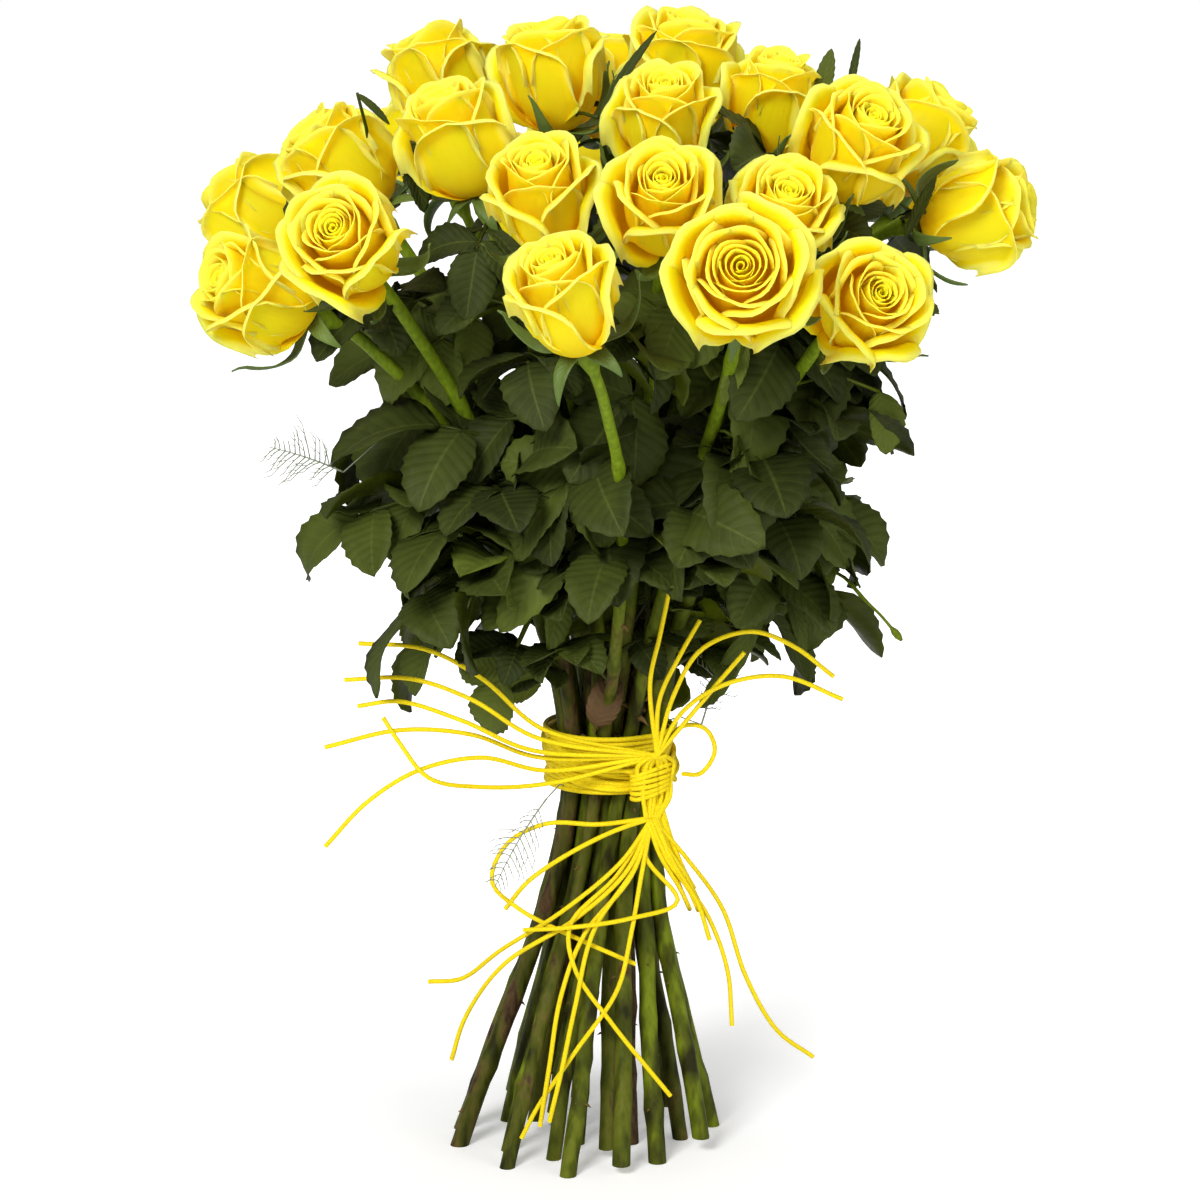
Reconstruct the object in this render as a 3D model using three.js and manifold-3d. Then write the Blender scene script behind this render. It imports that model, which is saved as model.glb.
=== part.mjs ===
// A hand-tied bouquet of two dozen yellow roses, standing on its own cut stems.
// Each rose is a woody stem that ends in a hip, and a bloom that sits on the hip. The stems are gathered
// into an hourglass bundle, bound with a band of twine, and the knot's loose ends spray up and down.
// Units are millimetres, +Z is up, and the origin is on the surface the bouquet stands on.
import * as THREE from "three";
import { mergeVertices } from "three/addons/utils/BufferGeometryUtils.js";
import Module from "manifold-3d";

// ---- driving dimensions ----
const TIE_HEIGHT = 172; // middle of the twine band above the surface
const TIE_CENTRE = new THREE.Vector3(1.3, 4.5, TIE_HEIGHT);
const TIE_RADIUS = 24; // inside of the band at its middle
const BAND_WIDTH = 24;
const BAND_THICKNESS = 2.6;
const BAND_FLARE = 3; // wider at its two rims, as the bundle inside it is
const FOOT_CENTRE = new THREE.Vector2(-8.5, -1.5); // middle of the ring of cut ends
const FOOT_RADIUS = 59; // furthest stem axis from that middle
const FOOT_TWIST = -26; // degrees that the bundle turns from the band down to the cut ends
const STEM_RADIUS = 2.9;
const STEM_SIDES = 8;
const STEM_STEPS = 11;
const STEM_PITCH = 7.6; // least distance between stem axes inside the band
const STEM_CUTS = [0, 0, 4, 0, 0, 7]; // height of the cut ends, repeated round the bundle
const HIP = { radius: 5.2, height: 9 };
const BLOOM_HEIGHT = 0.9; // of its width
const BLOOM_SIDES = 12;
const GAP = 0.3; // between two pieces that touch
const HOLD = 1.6; // clearance between the outer stems and the band
const KNOT = { turn: 300, halfWidth: 9, halfDepth: 4.4, halfHeight: 12, drop: 5 };
const TWINE_RADIUS = 1;
const TWINE_SIDES = 8;
const TWINE_STEPS = 8;
const BAND_SIDES = 20;
const LEAF_THICKNESS = 1;
const LEAF_STANDOFF = 1.2; // clear of the stem, whose section is wider where it leans
const LEAFLET_SEGMENTS = 5;
const LEAFLET_SPREAD = 58; // degrees between a side leaflet and the midrib
const LEAFLET_FOLD = 12; // degrees that a side leaflet tilts out of the leaf's plane
const RIB_RADIUS = 0.9;

const GREEN = "#4c5a1c";
const LEAF_GREEN = "#33451b";
const YELLOW = "#f4d81f";
const TWINE_YELLOW = "#f2d61c";

// ---- the roses ----
// turn: compass direction of the bloom from the tie, in degrees from +X towards +Y.
// lean: how far that line leans from upright. reach: distance from the tie to the middle of the bloom.
// faceTurn, faceLean: direction in which the bloom looks. width: across the open bloom.
const ROSES = [
  { turn: 286, lean: 38, reach: 302, faceTurn: 267, faceLean: 68, width: 58 },
  { turn: 264, lean: 37, reach: 285, faceTurn: 235, faceLean: 32, width: 50 },
  { turn: 306, lean: 38, reach: 280, faceTurn: 289, faceLean: 66, width: 52 },
  { turn: 230, lean: 34, reach: 292, faceTurn: 252, faceLean: 60, width: 54 },
  { turn: 207, lean: 37, reach: 268, faceTurn: 208, faceLean: 66, width: 52 },
  { turn: 344, lean: 33, reach: 290, faceTurn: 347, faceLean: 78, width: 50 },
  { turn: 256, lean: 24, reach: 284, faceTurn: 258, faceLean: 32, width: 50 },
  { turn: 279, lean: 27, reach: 291, faceTurn: 270, faceLean: 46, width: 50 },
  { turn: 303, lean: 27, reach: 281, faceTurn: 282, faceLean: 40, width: 48 },
  { turn: 321, lean: 25, reach: 304, faceTurn: 302, faceLean: 42, width: 52 },
  { turn: 193, lean: 24, reach: 284, faceTurn: 188, faceLean: 38, width: 52 },
  { turn: 216, lean: 16, reach: 284, faceTurn: 210, faceLean: 24, width: 52 },
  { turn: 292, lean: 12, reach: 288, faceTurn: 270, faceLean: 24, width: 48 },
  { turn: 160, lean: 5, reach: 294, faceTurn: 190, faceLean: 8, width: 50 },
  { turn: 32, lean: 7, reach: 296, faceTurn: 330, faceLean: 10, width: 52 },
  { turn: 341, lean: 14, reach: 294, faceTurn: 335, faceLean: 14, width: 48 },
  { turn: 4, lean: 26, reach: 296, faceTurn: 7, faceLean: 38, width: 52 },
  { turn: 90, lean: 17, reach: 291, faceTurn: 90, faceLean: 16, width: 50 },
  { turn: 142, lean: 18, reach: 298, faceTurn: 160, faceLean: 26, width: 52 },
  { turn: 30, lean: 34, reach: 286, faceTurn: 32, faceLean: 52, width: 52 },
  { turn: 62, lean: 28, reach: 292, faceTurn: 66, faceLean: 42, width: 54 },
  { turn: 96, lean: 37, reach: 288, faceTurn: 94, faceLean: 60, width: 52 },
  { turn: 124, lean: 30, reach: 286, faceTurn: 128, faceLean: 44, width: 52 },
  { turn: 158, lean: 36, reach: 278, faceTurn: 160, faceLean: 58, width: 52 },
];

// ---- the leaves ----
// Each hangs from one rose's stem at a height. heading: compass direction in which it grows.
// droop: how far its midrib falls below level, and roll turns its face about the midrib, in degrees.
const LEAVES = [
  { rose: 5, height: 292, heading: 188, droop: 10, roll: -30, length: 90 },
  { rose: 4, height: 266, heading: 206, droop: 20, roll: 20, length: 94 },
  { rose: 4, height: 244, heading: 206, droop: 62, roll: -62, length: 62 },
  { rose: 6, height: 285, heading: 338, droop: 0, roll: 30, length: 84 },
  { rose: 6, height: 252, heading: 8, droop: 12, roll: -24, length: 90 },
  { rose: 10, height: 264, heading: 322, droop: 8, roll: 8, length: 76 },
  { rose: 20, height: 240, heading: 30, droop: 25, roll: 20, length: 90 },
  { rose: 24, height: 238, heading: 150, droop: 25, roll: -20, length: 90 },
];

// ---- the twine's loose ends ----
// Points that each strand passes through after it leaves the knot, measured from the tie's centre.
// The strands of a group leave the knot as one hank, so they share its root.
const ROOT_UP = [20, -38, 8];
const ROOT_DOWN = [18, -40, -19];
const ENDS_UP = [
  [[-29, -42, 21], [-55, -44, 44], [-79, -42, 56], [-107, -36, 57]],
  [[-31, -46, 18], [-59, -50, 36], [-85, -46, 44], [-113, -40, 42]],
  [[-33, -44, 12], [-63, -55, 28], [-89, -54, 36], [-107, -50, 33]],
  [[-31, -40, 8], [-59, -48, 20], [-89, -56, 24], [-121, -54, 16]],
  [[-27, -40, 2], [-55, -56, 12], [-81, -62, 8], [-103, -62, -6], [-121, -60, -26]],
  [[-25, -38, -4], [-55, -52, -2], [-77, -66, 6], [-89, -62, 20], [-96, -58, 30]],
  [[17, -46, 42], [21, -52, 64], [25, -56, 85]],
  [[21, -44, 34], [29, -50, 54], [38, -48, 70]],
  [[27, -44, 36], [39, -50, 58], [59, -52, 66], [77, -48, 59], [95, -42, 44]],
  [[31, -40, 28], [49, -44, 41], [73, -46, 45], [99, -42, 34]],
  [[33, -38, 24], [45, -42, 40], [57, -44, 55]],
  [[31, -34, 20], [41, -31, 18], [45, -30, 8], [39, -33, -1], [31, -38, 0]],
];
const ENDS_DOWN = [
  [[-5, -43, -21], [-27, -38, -22], [-45, -30, -34], [-51, -30, -50], [-39, -42, -59], [-11, -54, -70], [11, -54, -80]],
  [[1, -44, -24], [-19, -46, -34], [-35, -44, -46], [-45, -38, -60]],
  [[5, -48, -36], [-19, -52, -56], [-47, -40, -78], [-65, -24, -96], [-79, -18, -99]],
  [[7, -50, -40], [-15, -54, -60], [-45, -46, -82], [-63, -30, -112], [-69, -26, -132]],
  [[13, -50, -44], [9, -56, -66], [3, -60, -90], [-15, -65, -116], [-31, -67, -140], [-38, -67, -154]],
  [[3, -49, -42], [-17, -56, -62], [-15, -61, -80], [1, -63, -104], [26, -64, -136]],
  [[9, -50, -42], [-11, -57, -66], [-21, -62, -92], [-26, -67, -122], [-30, -69, -148]],
  [[11, -48, -38], [-7, -58, -64], [-15, -65, -96], [-21, -70, -124], [-26, -72, -145]],
  [[33, -36, -38], [49, -26, -64], [59, -26, -94], [73, -22, -120], [89, -16, -134]],
  [[29, -40, -42], [43, -34, -66], [51, -32, -90], [53, -34, -114]],
  [[27, -42, -38], [38, -38, -58], [43, -38, -74]],
  [[15, -45, -34], [29, -47, -54], [9, -56, -59], [-15, -59, -62], [-37, -50, -66]],
];

const wasm = await Module();
wasm.setup();

// ---- geometry helpers ----
function direction(turn, lean) {
  const polar = THREE.MathUtils.degToRad(lean);
  const compass = THREE.MathUtils.degToRad(turn);
  return new THREE.Vector3(
    Math.sin(polar) * Math.cos(compass),
    Math.sin(polar) * Math.sin(compass),
    Math.cos(polar),
  );
}

// A three.js geometry as a manifold-3d solid, and back again.
function toSolid(geometry) {
  const bare = geometry.index ? geometry.toNonIndexed() : geometry.clone();
  for (const name of Object.keys(bare.attributes)) {
    if (name !== "position") bare.deleteAttribute(name);
  }
  const merged = mergeVertices(bare, 1e-4);
  return new wasm.Manifold(
    new wasm.Mesh({
      numProp: 3,
      vertProperties: merged.attributes.position.array,
      triVerts: new Uint32Array(merged.index.array),
    }),
  );
}

function toGeometry(solid) {
  const mesh = solid.getMesh();
  const geometry = new THREE.BufferGeometry();
  geometry.setAttribute("position", new THREE.BufferAttribute(mesh.vertProperties, 3));
  geometry.setIndex(new THREE.BufferAttribute(mesh.triVerts, 1));
  geometry.computeVertexNormals();
  return geometry;
}

function joined(geometries) {
  return geometries.map(toSolid).reduce((sum, solid) => sum.add(solid));
}

function polygon(radius, sides) {
  const corners = [];
  for (let i = 0; i < sides; i += 1) {
    const angle = (2 * Math.PI * i) / sides;
    corners.push(new THREE.Vector2(radius * Math.cos(angle), radius * Math.sin(angle)));
  }
  return new THREE.Shape(corners);
}

function tube(path, radius, sides, steps) {
  return new THREE.ExtrudeGeometry(polygon(radius, sides), { steps, extrudePath: path });
}

// A turned shape about +Z that starts at the origin: profile holds [radius, height] pairs.
function turned(profile, sides) {
  const points = profile.map(([radius, height]) => new THREE.Vector2(radius, height));
  return new THREE.LatheGeometry(points, sides).rotateX(Math.PI / 2);
}

function piece(name, geometry, colour, roughness) {
  const material = new THREE.MeshStandardMaterial({ color: colour, roughness, metalness: 0 });
  const mesh = new THREE.Mesh(geometry, material);
  mesh.name = name;
  return mesh;
}

const numbered = (name, i) => `${name}_${String(i + 1).padStart(2, "0")}`;

// ---- where the stems run ----
// Gathers points towards the tie as a hand does: each keeps its own side of the bundle, none comes
// nearer to another than the pitch, and all stay inside the radius.
function gathered(points, pitch, radius) {
  const widest = Math.max(...points.map((p) => p.length()));
  const held = points.map((p) => p.clone().multiplyScalar(radius / widest));
  const apart = new THREE.Vector2();
  for (let round = 0; round < 600; round += 1) {
    for (let i = 0; i < held.length; i += 1) {
      for (let j = i + 1; j < held.length; j += 1) {
        apart.subVectors(held[i], held[j]);
        const short = pitch - apart.length();
        if (short > 0) {
          apart.setLength(short / 2);
          held[i].add(apart);
          held[j].sub(apart);
        }
      }
    }
    for (const p of held) p.clampLength(0, radius);
  }
  return held;
}

const faces = ROSES.map((rose) => direction(rose.faceTurn, rose.faceLean));
const bloomBases = ROSES.map((rose, i) => {
  const middle = direction(rose.turn, rose.lean).multiplyScalar(rose.reach).add(TIE_CENTRE);
  return middle.addScaledVector(faces[i], (-BLOOM_HEIGHT * rose.width) / 2);
});
const inTheTie = gathered(
  bloomBases.map((base) => new THREE.Vector2(base.x - TIE_CENTRE.x, base.y - TIE_CENTRE.y)),
  STEM_PITCH,
  TIE_RADIUS - STEM_RADIUS - HOLD,
);

function stemPath(i) {
  const spread = FOOT_RADIUS / (TIE_RADIUS - STEM_RADIUS - HOLD);
  const twist = THREE.MathUtils.degToRad(FOOT_TWIST);
  const ground = inTheTie[i]
    .clone()
    .multiplyScalar(spread)
    .rotateAround(new THREE.Vector2(), twist)
    .add(FOOT_CENTRE);
  const foot = new THREE.Vector3(ground.x, ground.y, 0);
  const waist = new THREE.Vector3(inTheTie[i].x, inTheTie[i].y, 0).add(TIE_CENTRE);
  const neck = bloomBases[i].clone().addScaledVector(faces[i], -GAP - 0.5 * HIP.height);
  const below = waist.clone().sub(foot);
  const above = neck.clone().sub(waist);
  const atTie = below.clone().normalize().add(above.clone().normalize()).normalize();
  const start = foot.clone().addScaledVector(below, -0.05); // runs on a little, to be cut level
  const lower = new THREE.CubicBezierCurve3(
    start,
    start.clone().lerp(waist, 0.35),
    waist.clone().addScaledVector(atTie, -0.3 * below.length()),
    waist,
  );
  const upper = new THREE.CubicBezierCurve3(
    waist,
    waist.clone().addScaledVector(atTie, 0.35 * above.length()),
    neck.clone().addScaledVector(faces[i], -0.3 * above.length()),
    neck,
  );
  const path = new THREE.CurvePath();
  path.add(lower);
  path.add(upper);
  return path;
}
const stemPaths = ROSES.map((_, i) => stemPath(i));

// ---- stems: a swept tube cut level at the foot, with the hip that carries the bloom ----
function stem(i) {
  const cane = tube(stemPaths[i], STEM_RADIUS, STEM_SIDES, STEM_STEPS);
  const profile = [
    [0, -HIP.height],
    [STEM_RADIUS, -HIP.height],
    [HIP.radius, -0.45 * HIP.height],
    [HIP.radius, -0.15 * HIP.height],
    [0.6 * HIP.radius, 0],
    [0, 0],
  ];
  const hip = turned(profile, STEM_SIDES);
  hip.applyQuaternion(new THREE.Quaternion().setFromUnitVectors(new THREE.Vector3(0, 0, 1), faces[i]));
  const seat = bloomBases[i].clone().addScaledVector(faces[i], -GAP);
  hip.translate(seat.x, seat.y, seat.z);
  const waste = new THREE.BoxGeometry(300, 300, 100);
  waste.translate(0, 0, STEM_CUTS[i % STEM_CUTS.length] - 50);
  const solid = joined([cane, hip]).subtract(toSolid(waste));
  return piece(numbered("stem", i), toGeometry(solid), GREEN, 0.6);
}

// ---- blooms: the plain outer shape of the petals, turned about the way the bloom looks ----
function bloom(i) {
  const radius = ROSES[i].width / 2;
  const height = BLOOM_HEIGHT * ROSES[i].width;
  const profile = [
    [0, 0],
    [0.3 * radius, 0],
    [0.66 * radius, 0.14 * height],
    [0.86 * radius, 0.36 * height],
    [radius, 0.72 * height],
    [0.94 * radius, 0.88 * height],
    [0.55 * radius, height],
    [0, height],
  ];
  const mesh = piece(numbered("bloom", i), turned(profile, BLOOM_SIDES), YELLOW, 0.55);
  mesh.position.copy(bloomBases[i]);
  mesh.quaternion.setFromUnitVectors(new THREE.Vector3(0, 0, 1), faces[i]);
  return mesh;
}

// ---- leaves: a midrib with an end leaflet and two pairs at its sides, joined as they grow ----
function leaflet(length, at, side) {
  const half = 0.33 * length;
  const outline = new THREE.Shape();
  outline.moveTo(0, 0);
  outline.bezierCurveTo(0.15 * length, 1.2 * half, 0.65 * length, 1.15 * half, length, 0);
  outline.bezierCurveTo(0.65 * length, -1.15 * half, 0.15 * length, -1.2 * half, 0, 0);
  const blade = new THREE.ExtrudeGeometry(outline, {
    depth: LEAF_THICKNESS,
    bevelEnabled: false,
    curveSegments: LEAFLET_SEGMENTS,
  });
  blade.translate(0, 0, -LEAF_THICKNESS / 2);
  blade.rotateX(side * THREE.MathUtils.degToRad(LEAFLET_FOLD));
  blade.rotateZ(side * THREE.MathUtils.degToRad(LEAFLET_SPREAD));
  blade.translate(at, 0, 0);
  return blade;
}

function leaf(i) {
  const { rose, height, heading, droop, roll, length } = LEAVES[i];
  const ribEnd = new THREE.Vector3(0.62 * length, 0, 0);
  const rib = tube(new THREE.LineCurve3(new THREE.Vector3(), ribEnd), RIB_RADIUS, 5, 1);
  const blades = [leaflet(0.5 * length, 0.5 * length, 0)];
  for (const side of [-1, 1]) {
    blades.push(leaflet(0.4 * length, 0.56 * length, side));
    blades.push(leaflet(0.36 * length, 0.28 * length, side));
  }
  const mesh = piece(numbered("leaf", i), toGeometry(joined([rib, ...blades])), LEAF_GREEN, 0.45);
  const path = stemPaths[rose - 1];
  const beside = path.getSpacedPoints(200).find((p) => p.z >= height);
  const away = direction(heading, 90).multiplyScalar(STEM_RADIUS + RIB_RADIUS + LEAF_STANDOFF);
  mesh.position.copy(beside).add(away);
  mesh.rotation.order = "ZYX";
  mesh.rotation.set(
    THREE.MathUtils.degToRad(roll),
    THREE.MathUtils.degToRad(droop),
    THREE.MathUtils.degToRad(heading),
  );
  return mesh;
}

// ---- twine: the band of turns round the bundle, the knot on its front and the loose ends ----
function twineBand() {
  const outer = TIE_RADIUS + BAND_THICKNESS;
  const half = BAND_WIDTH / 2;
  const profile = [
    [TIE_RADIUS + BAND_FLARE, -half],
    [outer + BAND_FLARE, -half],
    [outer, 0],
    [outer + BAND_FLARE, half],
    [TIE_RADIUS + BAND_FLARE, half],
    [TIE_RADIUS, 0],
    [TIE_RADIUS + BAND_FLARE, -half],
  ];
  const mesh = piece("twine_band", turned(profile, BAND_SIDES), TWINE_YELLOW, 0.7);
  mesh.position.copy(TIE_CENTRE);
  return mesh;
}

function twineKnot() {
  const lump = new THREE.SphereGeometry(1, 10, 8);
  lump.scale(KNOT.halfDepth, KNOT.halfWidth, KNOT.halfHeight);
  const mesh = piece("twine_knot", lump, TWINE_YELLOW, 0.7);
  const out = TIE_RADIUS + BAND_THICKNESS + BAND_FLARE + GAP + KNOT.halfDepth;
  mesh.position.copy(direction(KNOT.turn, 90)).multiplyScalar(out).add(TIE_CENTRE);
  mesh.position.z -= KNOT.drop;
  mesh.rotation.z = THREE.MathUtils.degToRad(KNOT.turn);
  return mesh;
}

function twineEnds(name, root, routes) {
  const strands = routes.map((route) => {
    const points = [root, ...route].map((p) => new THREE.Vector3(...p));
    const path = new THREE.CatmullRomCurve3(points, false, "centripetal");
    return tube(path, TWINE_RADIUS, TWINE_SIDES, TWINE_STEPS);
  });
  const hank = new THREE.SphereGeometry(1.8 * TWINE_RADIUS, 8, 6);
  hank.translate(...root);
  const mesh = piece(name, toGeometry(joined([hank, ...strands])), TWINE_YELLOW, 0.7);
  mesh.position.copy(TIE_CENTRE);
  return mesh;
}

const bouquet = new THREE.Group();
for (let i = 0; i < ROSES.length; i += 1) bouquet.add(stem(i), bloom(i));
for (let i = 0; i < LEAVES.length; i += 1) bouquet.add(leaf(i));
bouquet.add(twineBand(), twineKnot());
bouquet.add(twineEnds("twine_ends_up", ROOT_UP, ENDS_UP));
bouquet.add(twineEnds("twine_ends_down", ROOT_DOWN, ENDS_DOWN));

export default bouquet;
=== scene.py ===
# The looks of a hand-tied bouquet of two dozen yellow roses that stands on its cut stems.
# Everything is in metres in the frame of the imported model: +Z up, with the twine's knot facing -Y.
import math
import random

import bpy
import numpy as np
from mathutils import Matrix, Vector


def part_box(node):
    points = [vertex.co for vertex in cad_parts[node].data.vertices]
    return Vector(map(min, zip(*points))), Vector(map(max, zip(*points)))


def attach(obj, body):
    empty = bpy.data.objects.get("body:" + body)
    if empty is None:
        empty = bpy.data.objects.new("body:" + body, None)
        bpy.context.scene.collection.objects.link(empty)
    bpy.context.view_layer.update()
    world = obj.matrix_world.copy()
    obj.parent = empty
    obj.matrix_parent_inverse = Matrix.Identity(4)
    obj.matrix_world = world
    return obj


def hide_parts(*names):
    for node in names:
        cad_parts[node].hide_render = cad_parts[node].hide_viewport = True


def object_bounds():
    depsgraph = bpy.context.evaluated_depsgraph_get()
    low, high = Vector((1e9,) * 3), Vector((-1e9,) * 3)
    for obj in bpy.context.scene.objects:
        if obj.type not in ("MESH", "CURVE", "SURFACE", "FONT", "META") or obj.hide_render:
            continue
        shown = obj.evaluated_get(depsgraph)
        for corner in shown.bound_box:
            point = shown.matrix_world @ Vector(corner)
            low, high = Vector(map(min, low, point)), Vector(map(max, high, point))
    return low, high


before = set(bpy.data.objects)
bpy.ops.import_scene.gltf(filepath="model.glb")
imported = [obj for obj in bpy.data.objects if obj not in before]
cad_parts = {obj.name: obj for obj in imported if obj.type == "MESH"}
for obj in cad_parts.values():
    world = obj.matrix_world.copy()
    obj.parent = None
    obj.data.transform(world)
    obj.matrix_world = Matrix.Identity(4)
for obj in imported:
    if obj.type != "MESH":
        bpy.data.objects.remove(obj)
cad_box = [list(corner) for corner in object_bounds()]
bpy.ops.object.select_all(action="DESELECT")

# ---- stems: woody canes, cut square at the foot and stripped of their lower leaves ----
# Each is a rod that thins from foot to neck, a little swollen at the scars where leaves were stripped,
# with the stubs of its thorns. It ends in the green hip that holds the petals.
MM = 0.001
ROSE_COUNT = 24
STEM_SIDES = 12
STEM_RINGS = 60
STEM_LEVELS = 16
FOOT_RADIUS = 0.0036
NECK_RADIUS = 0.0024
NECK_LENGTH = 0.012
HIP_LENGTH = 0.010
HIP_DEPTHS = (0, 0.001, 0.004, 0.008, 0.0115)
HIP_RADII = (0.0036, 0.0044, 0.0052, 0.0042, 0.0)
SCAR_LENGTH = 0.0035
STEM_WANDER = 0.0009
WANDER_FADE = 0.03
BROWN_CANE = 16
THORN_COUNT = 12
STRIPPED_LENGTH = 0.17


def unit(v):
    return v / np.linalg.norm(v)


def square_to(direction, v):
    """The unit vector square to a direction that lies nearest to v."""
    return unit(v - direction * v.dot(direction))


def node_corners(name):
    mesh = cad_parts[name].data
    corners = np.empty(len(mesh.vertices) * 3)
    mesh.vertices.foreach_get("co", corners)
    return corners.reshape(-1, 3)


def node_points(name):
    """The separate corners of a solid, each only once."""
    return np.unique(np.round(node_corners(name), 5), axis=0)


def node_triangles(name):
    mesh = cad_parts[name].data
    mesh.calc_loop_triangles()
    index = np.empty(len(mesh.loop_triangles) * 3, dtype=np.int32)
    mesh.loop_triangles.foreach_get("vertices", index)
    return node_corners(name)[index.reshape(-1, 3)]


def section_middle(triangles, level):
    """Middle of the outline that a level plane cuts from a solid."""
    total, middle = 0.0, np.zeros(3)
    for triangle in triangles[np.ptp(np.sign(triangles[:, :, 2] - level), axis=1) == 2]:
        cut = []
        for a, b in ((0, 1), (1, 2), (2, 0)):
            below, above = triangle[a][2] - level, triangle[b][2] - level
            if below * above < 0:
                cut.append(triangle[a] + (triangle[b] - triangle[a]) * below / (below - above))
        if len(cut) == 2:
            length = np.linalg.norm(cut[0] - cut[1])
            total += length
            middle += length * (cut[0] + cut[1]) / 2
    return middle / total


def run_along(line):
    """How far along a line each of its points is."""
    return np.concatenate([[0], np.cumsum(np.linalg.norm(np.diff(line, axis=0), axis=1))])


def resample(line, count):
    line = np.asarray(line)
    run = run_along(line)
    at = np.linspace(0, run[-1], count)
    return np.stack([np.interp(at, run, line[:, k]) for k in range(3)], axis=1)


def smoothed(line, rounds):
    line = np.array(line)
    for _ in range(rounds):
        line[1:-1] = (line[:-2] + 2 * line[1:-1] + line[2:]) / 4
    return line


def sweep(line, radii, sides):
    """Corners and faces of a closed rod along a line. Its last two faces are its foot and its top."""
    line = np.asarray(line, float)
    ahead = np.gradient(line, axis=0)
    ahead /= np.linalg.norm(ahead, axis=1)[:, None]
    side = np.cross(ahead[0], (0.31, 0.87, 0.23))
    turn = np.arange(sides) * 2 * math.pi / sides
    corners, faces = [], []
    for point, direction, radius in zip(line, ahead, np.broadcast_to(radii, len(line))):
        side = square_to(direction, side)
        ring = np.cos(turn)[:, None] * side + np.sin(turn)[:, None] * np.cross(direction, side)
        corners.append(point + radius * ring)
    for k in range(len(line) - 1):
        for j in range(sides):
            a, b = k * sides + j, k * sides + (j + 1) % sides
            faces.append((a, b, b + sides, a + sides))
    last = (len(line) - 1) * sides
    faces += [tuple(range(sides - 1, -1, -1)), tuple(range(last, last + sides))]
    return np.vstack(corners), faces


def part(corners, faces, tint=(0, 0, 0), uv=None, slot=0):
    """Corners, faces, tint, UV and the place of the material in its piece's list."""
    corners = np.asarray(corners, float)
    tint = np.broadcast_to(np.asarray(tint, float), (len(corners), 3))
    if uv is None:
        uv = np.zeros((len(corners), 2))
    return corners, faces, tint, uv, slot


def rod(line, radii, sides, tint=(0, 0, 0)):
    return part(*sweep(line, radii, sides), tint)


def tints(red, green, blue):
    """A tint for each corner. Each colour is one number, or a number for each corner."""
    return np.stack(np.broadcast_arrays(red, green, blue), axis=1)


def new_object(name, data):
    thing = bpy.data.objects.new(name, data)
    bpy.context.scene.collection.objects.link(thing)
    return thing


def make_piece(name, parts, materials):
    """One mesh object from its parts. tint and UV tell the material where on the piece a point is."""
    faces, slots, start = [], [], 0
    for part_corners, part_faces, _, _, slot in parts:
        faces += [tuple(int(c) + start for c in face) for face in part_faces]
        slots += [slot] * len(part_faces)
        start += len(part_corners)
    corners, tint, uv = (np.vstack([piece[k] for piece in parts]) for k in (0, 2, 3))
    mesh = bpy.data.meshes.new(name)
    mesh.from_pydata(corners.tolist(), [], faces)
    colour = np.concatenate([tint, np.ones((start, 1))], axis=1)
    layer = mesh.color_attributes.new("tint", "FLOAT_COLOR", "POINT")
    layer.data.foreach_set("color", colour.ravel())
    loop_corner = np.empty(len(mesh.loops), dtype=np.int32)
    mesh.loops.foreach_get("vertex_index", loop_corner)
    mesh.uv_layers.new(name="UVMap").data.foreach_set("uv", uv[loop_corner].ravel())
    mesh.polygons.foreach_set("material_index", slots)
    mesh.polygons.foreach_set("use_smooth", [True] * len(slots))
    for material in materials:
        mesh.materials.append(material)
    return new_object(name, mesh)


def place(piece, finish, *nodes):
    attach(piece, "root")
    if nodes:
        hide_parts(*nodes)


def new_material(name, roughness, **sockets):
    """A material, its tree and its shader. An underscore in a socket's name stands for a space."""
    material = bpy.data.materials.new(name)
    material.use_nodes = True
    tree = material.node_tree
    shader = tree.nodes["Principled BSDF"]
    shader.inputs["Roughness"].default_value = roughness
    for socket, value in sockets.items():
        shader.inputs[socket.replace("_", " ")].default_value = value
    return material, tree, shader


def add(tree, kind, values=None, **settings):
    """A node of a kind. values holds an input's number, or the output that feeds it, by name or place."""
    node = tree.nodes.new(kind)
    for setting, value in settings.items():
        setattr(node, setting, value)
    for key, value in (values or {}).items():
        if isinstance(value, bpy.types.NodeSocket):
            tree.links.new(value, node.inputs[key])
        else:
            node.inputs[key].default_value = value
    return node


def calc(tree, operation, *values):
    return add(tree, "ShaderNodeMath", dict(enumerate(values)), operation=operation).outputs[0]


def remap(tree, value, low, high, to_low=0.0, to_high=1.0):
    """The value's place from low to high, laid out from to_low to to_high and held between them."""
    values = {"Value": value, "From Min": low, "From Max": high, "To Min": to_low, "To Max": to_high}
    return add(tree, "ShaderNodeMapRange", values).outputs[0]


def scaled(tree, vector, factors):
    return add(tree, "ShaderNodeVectorMath", {0: vector, 1: factors}, operation="MULTIPLY").outputs[0]


def noise(tree, vector, scale, detail):
    values = {"Vector": vector, "Scale": scale, "Detail": detail}
    return add(tree, "ShaderNodeTexNoise", values).outputs["Fac"]


def roughen(tree, shader, height, strength, distance):
    """Bumps on the surface, as high as height says."""
    bump = add(tree, "ShaderNodeBump", {"Height": height, "Strength": strength, "Distance": distance})
    tree.links.new(bump.outputs[0], shader.inputs["Normal"])


def ramp(tree, fac, stops):
    """A colour ramp through (position, (r, g, b)) stops."""
    node = add(tree, "ShaderNodeValToRGB", {"Fac": fac})
    elements = node.color_ramp.elements
    while len(elements) < len(stops):
        elements.new(0.5)
    for element, (position, colour) in zip(elements, stops):
        element.position = position
        element.color = (*colour, 1)
    return node.outputs["Color"]


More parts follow.
